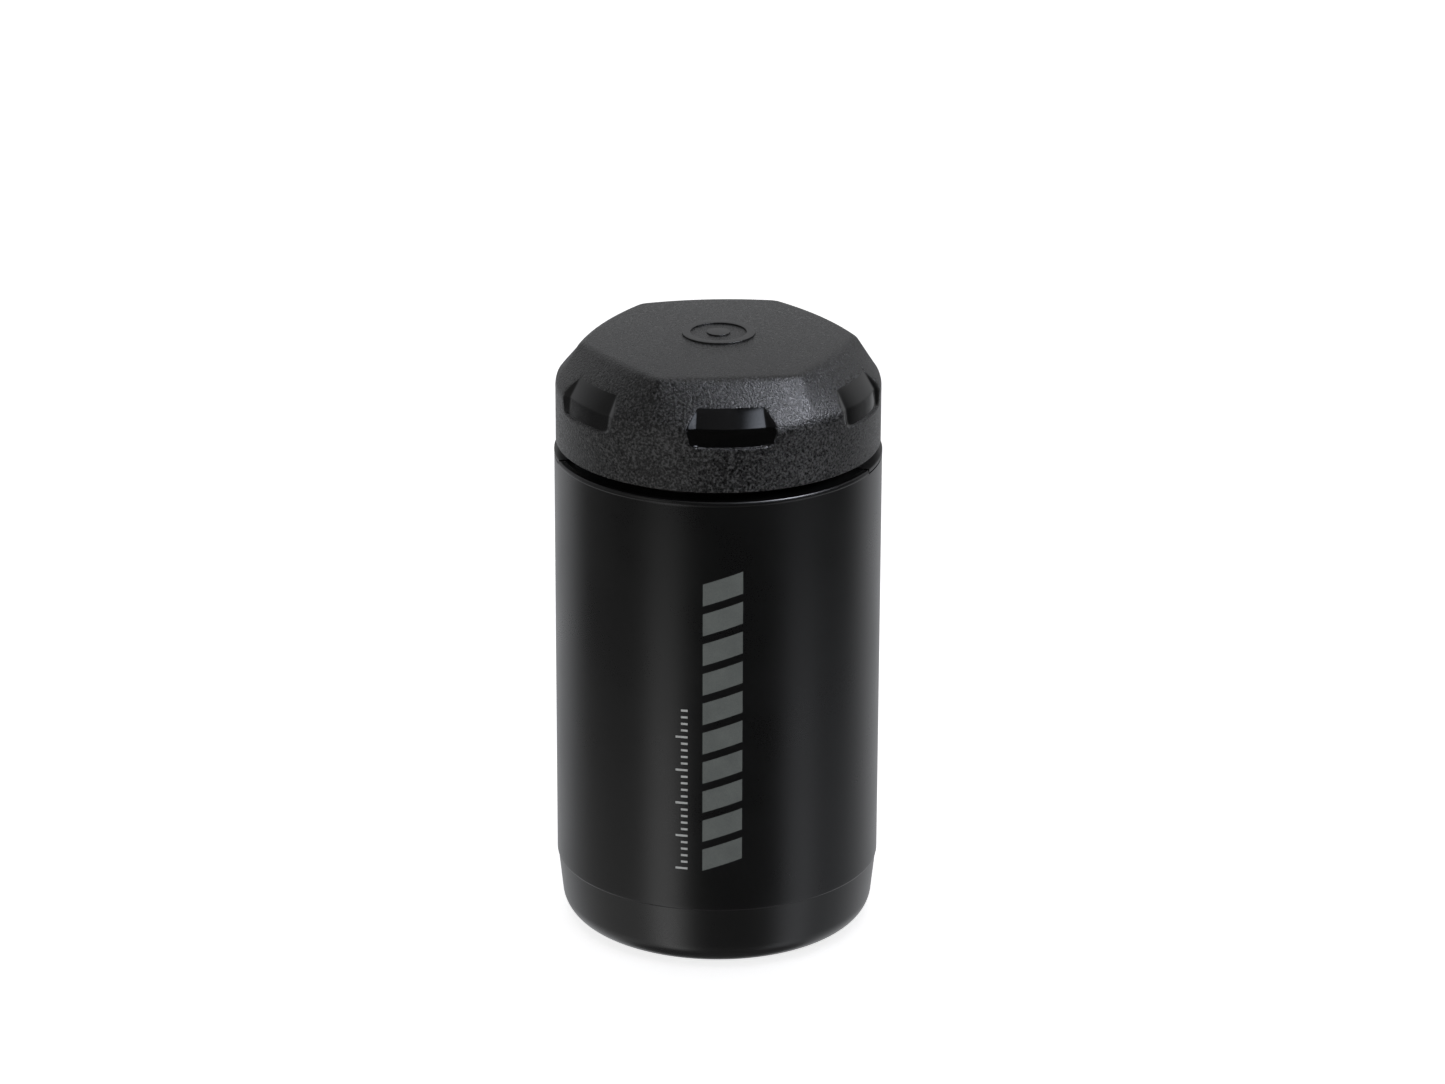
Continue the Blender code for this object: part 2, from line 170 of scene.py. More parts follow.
def revolve_grid(name, radius, height, azimuth, mats, sharp, poles=True, face_mats=None):
    """A surface of rows of points round the axis, facing outwards.

    radius, height and azimuth are rows by columns.  With poles, the first and
    last rows end in a point on the axis; without, the rows close on each other.
    Edges sharper than the angle sharp, in degrees, stay crisp.
    """
    rows, cols = radius.shape
    verts = polar(azimuth, radius, height).reshape(-1, 3)
    i = np.arange(rows if not poles else rows - 1)[:, None]
    j = np.arange(cols)[None, :]
    i2 = (i + 1) % rows
    j2 = (j + 1) % cols
    quads = np.stack([i * cols + j, i * cols + j2, i2 * cols + j2, i2 * cols + j], axis=-1).reshape(-1, 4)
    faces = quads.tolist()
    if poles:
        verts = np.vstack([verts, [[0, 0, height[0].mean() * MM], [0, 0, height[-1].mean() * MM]]])
        first = len(verts) - 2
        last = len(verts) - 1
        faces += [[first, (k + 1) % cols, k] for k in range(cols)]
        base = (rows - 1) * cols
        faces += [[last, base + k, base + (k + 1) % cols] for k in range(cols)]
    piece = new_piece(name, verts, faces, mats)
    if face_mats is not None:
        values = np.zeros(len(faces), dtype=np.int32)
        values[:len(quads)] = face_mats
        piece.data.polygons.foreach_set("material_index", values)
    piece.data.set_sharp_from_angle(angle=math.radians(sharp))
    return fix_normals(piece)


def rounded(points, radius, steps):
    """A profile with each inner corner rounded; a point may carry its own radius."""
    out = [points[0][:2]]
    for before, here, after in zip(points, points[1:], points[2:]):
        r = here[2] if len(here) > 2 else radius
        p = np.array(here[:2], float)
        a = np.array(before[:2], float) - p
        b = np.array(after[:2], float) - p
        la, lb = np.linalg.norm(a), np.linalg.norm(b)
        cut = min(r, 0.45 * la, 0.45 * lb)
        if cut < 1e-4:
            out.append(tuple(p))
            continue
        start, end = p + a / la * cut, p + b / lb * cut
        for k in range(steps + 1):
            t = k / steps
            q = (1 - t) ** 2 * start + 2 * t * (1 - t) * p + t * t * end
            out.append(tuple(q))
    out.append(points[-1][:2])
    return out


def closed_rounded(points, radius, steps):
    """As rounded, for a profile that closes on itself."""
    ring = [points[-1]] + list(points) + [points[0]]
    return rounded(ring, radius, steps)[1:-1]


def resample(points, count):
    """The same path through evenly spaced points; a corner may be cut a little."""
    pts = np.array(points)
    dist = np.concatenate([[0.0], np.cumsum(np.linalg.norm(np.diff(pts, axis=0), axis=1))])
    want = np.linspace(0.0, dist[-1], count)
    return list(zip(np.interp(want, dist, pts[:, 0]), np.interp(want, dist, pts[:, 1])))


def arc(center, radius, start, end, steps):
    """Points on an arc, its angles in degrees."""
    angles = np.radians(np.linspace(start, end, steps + 1))
    return [(center[0] + radius * math.cos(a), center[1] + radius * math.sin(a)) for a in angles]


def turned_ring(name, profile, mat):
    """A plain turned ring from a closed profile of (radius, height)."""
    return revolve_grid(name, *spun(profile, even(240)), [mat], 40.0, poles=False)


def fix_normals(piece):
    """Face outwards: flip the mesh when its signed volume is negative."""
    mesh = piece.data
    mesh.calc_loop_triangles()
    co = np.empty(len(mesh.vertices) * 3)
    mesh.vertices.foreach_get("co", co)
    co = co.reshape(-1, 3)
    tri = np.empty(len(mesh.loop_triangles) * 3, dtype=np.int32)
    mesh.loop_triangles.foreach_get("vertices", tri)
    tri = tri.reshape(-1, 3)
    a, b, c = co[tri[:, 0]], co[tri[:, 1]], co[tri[:, 2]]
    if np.einsum("ij,ij->i", a, np.cross(b, c)).sum() < 0.0:
        mesh.flip_normals()
    return piece


# ---- material helpers ------------------------------------------------------------
class Graph:
    """A short way to write a node material; scales are per metre of the object."""

    def __init__(self, name):
        self.mat = bpy.data.materials.new(name)
        self.mat.use_nodes = True
        self.tree = self.mat.node_tree
        self.shader = self.tree.nodes["Principled BSDF"]
        self.where = self.node("ShaderNodeTexCoord").outputs["Object"]

    def node(self, kind, **settings):
        made = self.tree.nodes.new(kind)
        for key, value in settings.items():
            setattr(made, key, value)
        return made

    def put(self, value, socket):
        if isinstance(value, bpy.types.NodeSocket):
            self.tree.links.new(value, socket)
        else:
            socket.default_value = value

    def noise(self, scale, detail=2.0, roughness=0.5, where=None):
        n = self.node("ShaderNodeTexNoise")
        self.put(where or self.where, n.inputs["Vector"])
        n.inputs["Scale"].default_value = scale
        n.inputs["Detail"].default_value = detail
        n.inputs["Roughness"].default_value = roughness
        return n.outputs["Fac"]

    def cells(self, scale):
        n = self.node("ShaderNodeTexVoronoi")
        self.put(self.where, n.inputs["Vector"])
        n.inputs["Scale"].default_value = scale
        return n.outputs["Distance"]

    def stretch(self, factors):
        n = self.node("ShaderNodeMapping")
        self.put(self.where, n.inputs["Vector"])
        n.inputs["Scale"].default_value = factors
        return n.outputs["Vector"]

    def math(self, operation, a, b=0.0):
        n = self.node("ShaderNodeMath", operation=operation)
        self.put(a, n.inputs[0])
        self.put(b, n.inputs[1])
        return n.outputs[0]

    def span(self, value, low, high, to_low, to_high, **settings):
        n = self.node("ShaderNodeMapRange", clamp=True, **settings)
        self.put(value, n.inputs["Value"])
        numbers = {"From Min": low, "From Max": high, "To Min": to_low, "To Max": to_high}
        for socket, number in numbers.items():
            self.put(number, n.inputs[socket])
        return n.outputs["Result"]

    def ramp(self, value, stops):
        n = self.node("ShaderNodeValToRGB")
        self.put(value, n.inputs["Fac"])
        ramp = n.color_ramp
        ramp.elements[0].position, ramp.elements[-1].position = stops[0][0], stops[-1][0]
        ramp.elements[0].color = (*stops[0][1], 1.0)
        ramp.elements[-1].color = (*stops[-1][1], 1.0)
        for position, color in stops[1:-1]:
            ramp.elements.new(position).color = (*color, 1.0)
        return n.outputs["Color"]

    def bump(self, height, distance):
        n = self.node("ShaderNodeBump")
        self.put(height, n.inputs["Height"])
        n.inputs["Distance"].default_value = distance
        n.inputs["Strength"].default_value = 1.0
        return n.outputs["Normal"]

    def finish(self, **sockets):
        for name, value in sockets.items():
            self.put(value, self.shader.inputs[name.replace("_", " ")])
        return self.mat


def grey(value, tint=(1.0, 1.0, 1.0)):
    return tuple(value * t for t in tint)


def satin_black():
    """Moulded body: satin black with a very fine spark texture."""
    g = Graph("satin_black")
    cool = (1.0, 1.0, 1.03)
    cloud = g.noise(60.0, 3.0)
    fine = g.noise(5200.0, 1.0)
    color = g.ramp(cloud, [(0.3, grey(0.0042, cool)), (0.7, grey(0.0056, cool))])
    rough = g.math("ADD", g.span(cloud, 0.3, 0.7, 0.28, 0.32), g.span(fine, 0.3, 0.7, -0.02, 0.02))
    return g.finish(Base_Color=color, Roughness=rough, Normal=g.bump(fine, 0.000006), IOR=1.5)


def grained_lid():
    """The lid's moulded grain: rounded pebbles with a fine sparkle on top."""
    g = Graph("grained_lid")
    cloud = g.noise(45.0, 3.0)
    pebble = g.noise(1850.0, 2.0, 0.6)
    fine = g.noise(4300.0, 1.0)
    height = g.math("ADD", pebble, g.math("MULTIPLY", fine, 0.4))
    tone = g.math("ADD", g.math("MULTIPLY", cloud, 0.15), g.math("MULTIPLY", pebble, 0.85))
    color = g.ramp(tone, [(0.4, grey(0.0015)), (0.5, grey(0.008)), (0.61, grey(0.06))])
    rough = g.span(pebble, 0.38, 0.62, 0.26, 0.54)
    return g.finish(Base_Color=color, Roughness=rough, Normal=g.bump(height, 0.0002), IOR=1.5)


def smooth_lid():
    """The raised ring and dot on the lid: its plastic without the grain."""
    g = Graph("smooth_lid")
    cloud = g.noise(120.0, 2.0)
    fine = g.noise(4800.0, 1.0)
    color = g.ramp(cloud, [(0.3, grey(0.014)), (0.7, grey(0.02))])
    rough = g.span(fine, 0.3, 0.7, 0.36, 0.44)
    return g.finish(Base_Color=color, Roughness=rough, Normal=g.bump(fine, 0.000008), IOR=1.5)


def polished_black():
    """The polished floors and side walls of the finger scoops."""
    g = Graph("polished_black")
    cloud = g.noise(150.0, 2.0)
    ripple = g.noise(420.0, 2.0)
    color = g.ramp(cloud, [(0.3, grey(0.0013)), (0.7, grey(0.002))])
    rough = g.span(ripple, 0.3, 0.7, 0.13, 0.19)
    return g.finish(Base_Color=color, Roughness=rough, Normal=g.bump(ripple, 0.000004), IOR=1.5)


def inner_black(name, value, roughness):
    """Unpainted inner mouldings: smoother, with faint flow marks."""
    g = Graph(name)
    flow = g.noise(90.0, 3.0, where=g.stretch((1.0, 1.0, 6.0)))
    fine = g.noise(3600.0, 1.0)
    color = g.ramp(flow, [(0.3, grey(value * 0.85)), (0.7, grey(value * 1.2))])
    broad = g.span(flow, 0.3, 0.7, roughness - 0.03, roughness + 0.03)
    rough = g.math("ADD", broad, g.span(fine, 0.3, 0.7, -0.02, 0.02))
    return g.finish(Base_Color=color, Roughness=rough, Normal=g.bump(fine, 0.000006), IOR=1.5)


def rubber(name, value):
    """Dull black rubber with a little dust on it."""
    g = Graph(name)
    dust = g.noise(900.0, 4.0, 0.65)
    fine = g.noise(4200.0, 1.0)
    color = g.ramp(dust, [(0.35, grey(value)), (0.6, grey(value * 1.25)), (0.75, grey(value * 1.8))])
    rough = g.span(dust, 0.3, 0.7, 0.55, 0.7)
    return g.finish(Base_Color=color, Roughness=rough, Normal=g.bump(fine, 0.000012), IOR=1.45)


def foam(name):
    """Closed-cell foam: small round cells of uneven size."""
    g = Graph(name)
    cool = (1.0, 1.0, 1.06)
    cell = g.cells(1500.0)
    big = g.cells(620.0)
    cloud = g.noise(120.0, 3.0)
    height = g.math("ADD", cell, g.math("MULTIPLY", big, 0.6))
    tone = g.math("ADD", g.math("MULTIPLY", cell, 0.6), g.math("MULTIPLY", cloud, 0.4))
    color = g.ramp(tone, [(0.2, grey(0.026, cool)), (0.5, grey(0.05, cool)), (0.8, grey(0.075, cool))])
    rough = g.span(cell, 0.1, 0.6, 0.82, 0.95)
    return g.finish(Base_Color=color, Roughness=rough, Normal=g.bump(height, 0.00012), IOR=1.4)


def printed_ink(name, color_low, color_high):
    """Screen-printed ink: matt, and slightly uneven in tone."""
    g = Graph(name)
    speck = g.noise(3800.0, 2.0)
    cloud = g.noise(260.0, 2.0)
    tone = g.math("ADD", g.math("MULTIPLY", speck, 0.55), g.math("MULTIPLY", cloud, 0.45))
    color = g.ramp(tone, [(0.32, color_low), (0.68, color_high)])
    rough = g.span(speck, 0.3, 0.7, 0.5, 0.62)
    return g.finish(Base_Color=color, Roughness=rough, Normal=g.bump(speck, 0.000008), IOR=1.45)


# ---- canister body ---------------------------------------------------------------
def foot_radius(z):
    return BODY_R - FOOT_STEP - FOOT_TAPER * (FOOT_H - z)


def lug_columns(count):
    """Even columns, with close ones at the ends of the rim's cut-outs and of the lugs in them."""
    base = list(even(count))
    for azimuth in LUG_AZIMUTHS:
        for end in (-1.0, 1.0):
            for half in (LUG_HALF, LUG_HALF - LUG_GAP / BODY_R):
                for nudge in (-0.09, -0.05, -0.015, 0.015, 0.05, 0.09):
                    base.append((azimuth + end * half + nudge / BODY_R) % TAU)
    base = np.sort(np.array(base))
    keep = np.concatenate([[True], np.diff(base) > 0.006 / BODY_R])
    return base[keep]


def in_lug(azimuth, half, blend=0.03):
    """1 in the sectors of this half width, 0 outside, over a short blend in millimetres."""
    value = np.zeros_like(azimuth)
    for centre in LUG_AZIMUTHS:
        off = np.abs((azimuth - centre + math.pi) % TAU - math.pi)
        value = np.maximum(value, np.clip(((half - off) * BODY_R + 0.5 * blend) / blend, 0.0, 1.0))
    return value[None, :]


def make_body(mat):
    slope = math.degrees(math.atan(FOOT_TAPER))
    fillet_r = foot_radius(FOOT_FILLET) - FOOT_FILLET * math.hypot(1.0, FOOT_TAPER)
    fillet = (fillet_r, FOOT_FILLET)
    bead = BODY_R + RIM_PROUD
    foot_top = BODY_R - FOOT_STEP
    recess_out = RECESS_R + RECESS
    bead_low = 111.75
    wall_top = (BODY_IN, RIM_TOP - 1.5)

    # The underside, the foot, and above the foot the crease: a crisp little shelf.
    low = [(2.0, RECESS), (12.0, RECESS)]
    low += rounded([(20.0, RECESS), (RECESS_R, RECESS), (recess_out, 0.0), (27.5, 0.0)], 0.35, 4)
    low += arc(fillet, FOOT_FILLET, -90.0, -slope, 18)
    low += [(foot_radius(z), z) for z in (7.0, 9.0, 11.0, 13.0, 14.3)]
    low += [(foot_top - 0.012, FOOT_H - 0.14), (foot_top, FOOT_H - 0.02), (foot_top + 0.03, FOOT_H + 0.03),
            (BODY_R - 0.1, FOOT_H + 0.09), (BODY_R - 0.035, FOOT_H + 0.17),
            (BODY_R - 0.008, FOOT_H + 0.27), (BODY_R, FOOT_H + 0.4)]
    low += [(BODY_R, z) for z in np.linspace(16.5, 110.5, 34)]
    low += [(BODY_R, 111.2), (BODY_R, 111.6)]

    rim = rounded([(BODY_R, bead_low), (BODY_R, RIM_TOP - 1.12, 0.08), (bead, RIM_TOP - 0.92, 0.16),
                   (bead, RIM_TOP - 0.33, 0.2), (bead - 0.2, RIM_TOP, 0.14), (BODY_IN + 0.35, RIM_TOP, 0.15),
                   (BODY_IN, RIM_TOP - 0.35, 0.15), wall_top], 0.15, 4)
    notch = rounded([(BODY_R, bead_low), (BODY_R, LUG_CUT, 0.1), (BODY_IN, LUG_CUT, 0.1), wall_top], 0.1, 4)
    notch = resample(notch, len(rim))

    high = [(BODY_IN, z) for z in (108.0, 90.0, 70.0, 50.0, 30.0, 16.0)]
    high += [(r, z + FLOOR - WALL) for r, z in arc(fillet, FOOT_FILLET - WALL, -slope, -90.0, 10)]
    inside = FLOOR + RECESS
    high += rounded([(27.0, FLOOR), (recess_out, FLOOR), (RECESS_R, inside), (20.0, inside)], 0.3, 3)
    high += [(10.0, inside), (2.0, inside)]

    columns = lug_columns(360)
    grid = mixed(low + rim + high, low + notch + high, in_lug(columns, LUG_HALF), columns)
    return revolve_grid("body_skin", *grid, [mat], 32.0)


# ---- threads and the two threaded pieces -------------------------------------------
def smooth_step(t):
    return t * t * (3.0 - 2.0 * t)


def thread_lift(azimuth, z, heights, first):
    """How much of the ridge's height stands at a point, 0 to 1."""
    angle = azimuth - 0.5 * math.pi
    z_from, z_to = heights
    turn = (z_to - z_from) / THREAD_LEAD * TAU
    lift = np.zeros(np.broadcast(azimuth, z).shape)
    for start in range(THREAD_STARTS):
        phase = first + TAU * start / THREAD_STARTS
        base = (angle - phase) % TAU
        for lap in range(-1, 3):
            along = base + lap * TAU
            off = np.abs(z - (z_from + THREAD_LEAD * along / TAU))
            grow = smooth_step(np.clip(np.minimum(along, turn - along) / THREAD_FADE, 0.0, 1.0))
            flank = smooth_step(np.clip((THREAD_HALF - off) / THREAD_FLANK, 0.0, 1.0))
            lift = np.maximum(lift, flank * grow)
    return lift


def make_neck(mat):
    """The collar: a threaded neck on a flange, and two lugs that fill the rim's cut-outs."""
    outer = [(NECK_ROOT, z) for z in np.arange(SHOULDER + 0.5, NECK_TOP - 0.45, 0.2)[::-1]]
    corner = [(NECK_ROOT, SHOULDER + 0.45), (NECK_ROOT, SHOULDER, 0.35)]
    flange = (FLANGE_R, SHOULDER - 1.0)
    lug_top = RIM_TOP - 0.1
    lug_out = BODY_R + 0.03
    lug_low = LUG_CUT + GAP
    notched = rounded([*corner, (FLANGE_R - 0.95, SHOULDER, 0.1), (FLANGE_R - 0.9, lug_top, 0.12),
                       (lug_out, lug_top, 0.15), (lug_out, lug_low, 0.12), (FLANGE_R, lug_low, 0.05),
                       flange], 0.12, 4)
    plain = resample(rounded([*corner, (FLANGE_R, SHOULDER, 0.2), flange], 0.2, 5), len(notched))

    foot = SHOULDER - FLANGE_H
    below = rounded([(FLANGE_R, SHOULDER - 1.2), (FLANGE_R, GROOVE[1], 0.12), (GROOVE_R, GROOVE[1], 0.15),
                     (GROOVE_R, GROOVE[0], 0.15), (FLANGE_R, GROOVE[0], 0.12), (FLANGE_R, foot, 0.3),
                     (SKIRT_IN, foot, 0.3), (SKIRT_IN, SHOULDER - 5.2, 0.5),
                     (NECK_BORE, SHOULDER - 1.2, 0.6), (NECK_BORE, NECK_TOP - 3.0)], 0.2, 4)
    below += rounded([(NECK_BORE, NECK_TOP - 2.0), (NECK_BORE, NECK_TOP, 0.45), (NECK_ROOT, NECK_TOP, 0.45),
                      (NECK_ROOT, NECK_TOP - 0.6)], 0.45, 6)

    columns = lug_columns(360)
    share = in_lug(columns, LUG_HALF - LUG_GAP / BODY_R)
    r, z, a = mixed(outer + plain + below, outer + notched + below, share, columns)
    rows = len(outer)
    r[:rows] += (NECK_CREST - NECK_ROOT) * thread_lift(a[:rows], z[:rows], NECK_THREAD, 0.0)
    return revolve_grid("neck_collar", r, z, a, [mat], 35.0, poles=False)


def make_liner(mat):
    """The lid's inner cap, with the female thread."""
    roof = CEILING + LINER_ROOF
    bottom = LID_BOTTOM + 0.7
    top = [(1.0, roof), (10.0, roof), (20.0, roof)]
    top += rounded([(28.0, roof), (31.6, roof, 0.4), (LINER_OUT, CEILING - 0.1, 0.4),
                    (LINER_OUT, 122.0)], 0.4, 4)
    top += rounded([(LINER_OUT, 118.0), (LINER_OUT, bottom, 0.25), (LINER_ROOT, bottom, 0.35),
                    (LINER_ROOT, bottom + 0.5)], 0.3, 4)
    threaded = [(LINER_ROOT, z) for z in np.arange(LID_BOTTOM + 1.3, CEILING - 0.5, 0.2)]
    end = rounded([(LINER_ROOT, CEILING - 0.45), (LINER_ROOT, CEILING, 0.35), (28.5, CEILING)], 0.3, 4)
    end += [(20.0, CEILING), (10.0, CEILING), (1.0, CEILING)]

    r, z, a = spun(top + threaded + end, even(300))
    climb = LINER_THREAD[0] - NECK_THREAD[0] - 0.5 * THREAD_LEAD / THREAD_STARTS
    rows = slice(len(top), len(top) + len(threaded))
    lift = thread_lift(a[rows], z[rows], LINER_THREAD, climb / THREAD_LEAD * TAU)
    r[rows] -= (LINER_ROOT - LINER_CREST) * lift
    return revolve_grid("lid_inner_cap", r, z, a, [mat], 35.0)


# ---- lid ---------------------------------------------------------------------------
APOTHEM = PLATEAU_R * math.cos(math.pi / SIDES)
HALF_EDGE = PLATEAU_R * math.sin(math.pi / SIDES)
EDGE_SOFT = 0.9


def side_angle(azimuth):
    """The angle from the middle of the nearest side."""
    return (azimuth - LID_AZIMUTH + 0.5 * SECTOR) % SECTOR - 0.5 * SECTOR


def plateau_edge(azimuth):
    """Radius of the lid's hexagonal top: sides slightly bowed out, corners softened."""
    bowed = APOTHEM + PLATEAU_BULGE
    total = 0.0
    for off in (-1.6, -0.8, 0.0, 0.8, 1.6):
        t = np.tan(side_angle(azimuth + math.radians(off)))
        root = np.sqrt(HALF_EDGE ** 2 + 4.0 * PLATEAU_BULGE * t * t * bowed)
        s = 2.0 * t * bowed / (HALF_EDGE + root)
        total = total + np.hypot(s * HALF_EDGE, APOTHEM + PLATEAU_BULGE * (1.0 - s * s))
    return total / 5.0


def dome(r):
    """Height of the lid's slightly domed top."""
    return TOTAL_H - PLATEAU_SAG * r * r


def soft_max(a, b, k):
    h = np.maximum(k - np.abs(a - b), 0.0) / k
    return np.maximum(a, b) + h * h * k * 0.25


def between(z, low, high, which):
    return low[which] + (high[which] - low[which]) * (z - low[0]) / (high[0] - low[0])


def scoop_width(z):
    """Half width of a scoop's floor, in millimetres across."""
    lower, upper = between(z, SCOOP_LOW, SCOOP_CREASE, 2), between(z, SCOOP_CREASE, SCOOP_HIGH, 2)
    return np.where(z < SCOOP_CREASE[0], lower, upper)


def shoulder_radius(azimuth, z):
    """Radius of the faceted shoulder between the ridge and the top."""
    edge = plateau_edge(azimuth)
    return LID_R - (LID_R - edge) * (z - RIDGE_H) / (dome(edge) - RIDGE_H)


def scoop_floor(azimuth, z):
    """Radius of a scoop's floor: it follows the lid's round shape, with a crease across."""
    lower = between(z, SCOOP_LOW, SCOOP_CREASE, 1)
    share = (z - SCOOP_CREASE[0]) / (SCOOP_HIGH[0] - SCOOP_CREASE[0])
    upper = SCOOP_CREASE[1] + (shoulder_radius(azimuth, SCOOP_HIGH[0]) - SCOOP_CREASE[1]) * share
    return -soft_max(-lower, -upper, 0.1)


def lid_round(azimuth, r, z):
    """The lid without its scoops: negative inside, positive outside."""
    edge = plateau_edge(azimuth)
    rise = dome(edge) - RIDGE_H
    run = LID_R - edge
    chamfer = ((r - LID_R) * rise + (z - RIDGE_H) * run) / np.hypot(rise, run)
    body = soft_max(r - LID_R, chamfer, EDGE_SOFT)
    return soft_max(body, z - dome(r), EDGE_SOFT)


def lid_solid(azimuth, r, z):
    """Negative inside the lid, positive outside, about zero on its skin."""
    across = np.abs(r * np.sin(side_angle(azimuth)))
    floor = scoop_floor(azimuth, z)
    wall = (across - scoop_width(z) - (r - floor) * SCOOP_SLANT) / math.hypot(1.0, SCOOP_SLANT)
    scoop = soft_max(wall, SCOOP_LOW[0] - z, 1.2)
    scoop = soft_max(floor - r, scoop, 0.16)
    return soft_max(lid_round(azimuth, r, z), -scoop, 0.3)


def lid_skin(azimuth, r, z, tilt):
    """Move points along their row's direction until they lie on the lid's skin.

    The skin is looked for from 7 mm inside to 1 mm outside, by 26 halvings.
    """
    dr, dz = np.cos(tilt), np.sin(tilt)
    low = np.full(azimuth.shape, -7.0)
    high = np.full(azimuth.shape, 1.0)
    for _ in range(26):
        mid = 0.5 * (low + high)
        inside = lid_solid(azimuth, r + mid * dr, z + mid * dz) < 0.0
        low = np.where(inside, mid, low)
        high = np.where(inside, high, mid)
    return r + low * dr, z + low * dz


# Column spacing over half a side: the scoop's floor, its side wall, and the lid beside it.
FLOOR_STEPS = (0.0, 0.16, 0.32, 0.48, 0.62, 0.74, 0.83, 0.9, 0.95, 0.98, 1.0)
WALL_STEPS = (0.05, 0.12, 0.24, 0.4, 0.6, 0.76, 0.88, 0.95, 1.0)
SIDE_STEPS = (0.02, 0.05, 0.1, 0.17, 0.26, 0.37, 0.49, 0.61, 0.72, 0.82, 0.9, 0.96, 1.0)

# Rows from the skirt to above the scoops, close at the scoops' edges and crease.
SKIN_HEIGHTS = (
    115.62, 116.6, 118.0, 120.0, 122.0, 123.6, 124.5, 124.9, 125.1, 125.18, 125.23, 125.27, 125.3, 125.33,
    125.37, 125.42, 125.48, 125.56, 125.66, 125.78, 125.92, 126.1, 126.35, 126.7, 127.2, 127.8, 128.3, 128.7,
    128.95, 129.1, 129.2, 129.28, 129.34, 129.4, 129.46, 129.52, 129.58, 129.65, 129.74, 129.86, 130.05,
    130.35, 130.75, 131.2, 131.7, 132.2, 132.6, 132.95, 133.2, 133.4, 133.54, 133.64, 133.72, 133.8, 133.88,
    133.97, 134.1, 134.35, 134.8)
# Rows from there to the edge of the top, as shares of the way from the ridge to that edge.
CHAMFER_STEPS = (0.62, 0.68, 0.74, 0.8, 0.85, 0.89, 0.92, 0.945, 0.965, 0.98, 0.99, 1.0)
# Rows from the edge of the top to the axis, as shares of the radius.
TOP_STEPS = (0.99, 0.98, 0.965, 0.945, 0.915, 0.87, 0.8, 0.7, 0.58, 0.45, 0.32, 0.2, 0.1, 0.04)
# The rows' points are moved level at first, at EDGE_TILT at the edge of the top, then straight up.
EDGE_TILT = 60.0


def side_columns(z, tight):
    """Column angles over half a side at one height, gathered at the scoop's edges where tight is 1."""
    z = min(max(z, SCOOP_LOW[0]), SCOOP_HIGH[0])
    half = float(scoop_width(z))
    floor_r = float(scoop_floor(LID_AZIMUTH + half / LID_R, z))
    skin_r = LID_R if z < RIDGE_H else float(shoulder_radius(LID_AZIMUTH + half / LID_R, z))
    inner = math.asin(half / floor_r)
    depth = max(0.0, skin_r - floor_r)
    outer = max(math.asin((half + SCOOP_SLANT * depth) / skin_r), inner + math.radians(0.5))
    end = 0.5 * SECTOR
    steps = [inner * s for s in FLOOR_STEPS]
    steps += [inner + (outer - inner) * s for s in WALL_STEPS]
    steps += [outer + (end - outer) * s for s in SIDE_STEPS]
    uniform = np.linspace(0.0, end, len(steps))
    return np.array(steps) * tight + uniform * (1.0 - tight)


def lid_columns(z, tight):
    half = side_columns(z, tight)
    side = np.concatenate([-half[:0:-1], half[:-1]])
    return np.concatenate([LID_AZIMUTH + k * SECTOR + side for k in range(SIDES)])


def lid_hollow():
    """Profile of the lid's inside and of its lower edge, from the axis out to the skirt."""
    inner_r = LINER_OUT + GAP
    profile = [(1.0, 137.3), (12.0, 137.2), (20.0, 136.78), (26.4, 136.4)]
    profile += rounded([(27.0, 135.6), (inner_r, 127.6, 0.6), (inner_r, 124.0)], 0.6, 4)
    profile += [(inner_r, z) for z in (122.0, 119.0, 116.5)]
    edge = [(inner_r, 115.9), (inner_r, LID_BOTTOM, 0.25), (LID_R, LID_BOTTOM, 0.4), (LID_R, 115.7)]
    return profile + rounded(edge, 0.3, 5)[:-1]


